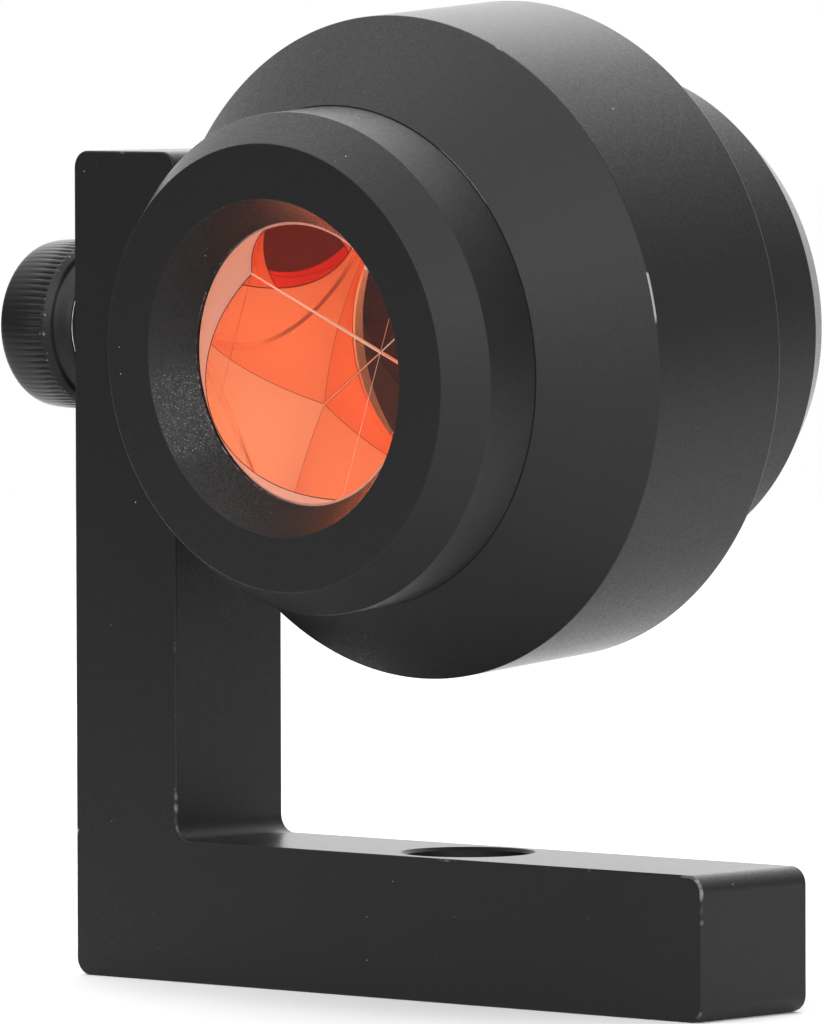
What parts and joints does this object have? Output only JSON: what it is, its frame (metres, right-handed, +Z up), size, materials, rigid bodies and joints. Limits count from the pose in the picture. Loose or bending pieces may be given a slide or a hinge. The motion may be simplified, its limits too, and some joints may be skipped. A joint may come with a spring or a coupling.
{
  "type": "l-bar surveying prism",
  "caption": "Corner-cube surveying prism in a round canister, held in a double-cone ring that tilts on an L-shaped bracket with a knurled clamp screw.",
  "frame": {"origin": "centre of the foot hole's mouth on the underside of the foot, straight below the prism's optical axis", "axes": "+X along the foot away from the upright, +Y away from the side the prism looks to, +Z up"},
  "size_m": [0.0808, 0.0519, 0.085],
  "materials": {
    "bracket_black": "matte black anodised",
    "housing_black": "bead-blasted black anodised",
    "knob_black": "satin black anodised, straight knurl",
    "plain_aluminium": "turned",
    "steel": "machined",
    "black_steel": "black oxide",
    "brass": "turned",
    "white_nylon": "matte",
    "black_rubber": "matte",
    "silicone": "matte",
    "copper_backed_glass": "polished optical glass with copper plated rear faces"
  },
  "bodies": {
    "bracket": {"l_bracket": "bracket_black", "friction_washer": "white_nylon"},
    "prism_unit": {"holder_ring": "housing_black", "stud_insert": "brass", "canister_grub_screws": "black_steel", "canister_body": "housing_black", "front_seal": "black_rubber", "prism_glass": "copper_backed_glass", "centring_sleeve": "white_nylon", "prism_cushion": "silicone", "pressure_plate": "plain_aluminium", "disc_spring": "steel", "retaining_ring": "plain_aluminium", "cap_seal": "black_rubber", "rear_cap": "housing_black"},
    "washer": {"clamp_washer": "black_steel"},
    "clamp_screw": {"clamp_knob": "knob_black", "clamp_stud": "black_steel"}
  },
  "joints": [
    {"name": "prism_tilt", "type": "hinge", "parent": "bracket", "child": "prism_unit", "pos_m": [-0.0273, 0, 0.0566], "axis": [1, 0, 0], "continuous": true},
    {"name": "screw_travel", "type": "slide", "parent": "bracket", "child": "washer", "axis": [-1, 0, 0], "range_m": [0, 0.00201]},
    {"name": "screw_turn", "type": "hinge", "parent": "washer", "child": "clamp_screw", "pos_m": [-0.041, 0, 0.0566], "axis": [-1, 0, 0], "range_deg": [0, 720]}
  ],
  "couplings": [
    {"joint": "screw_travel", "follows": "screw_turn", "m_per_rad": 0.00015915}
  ]
}
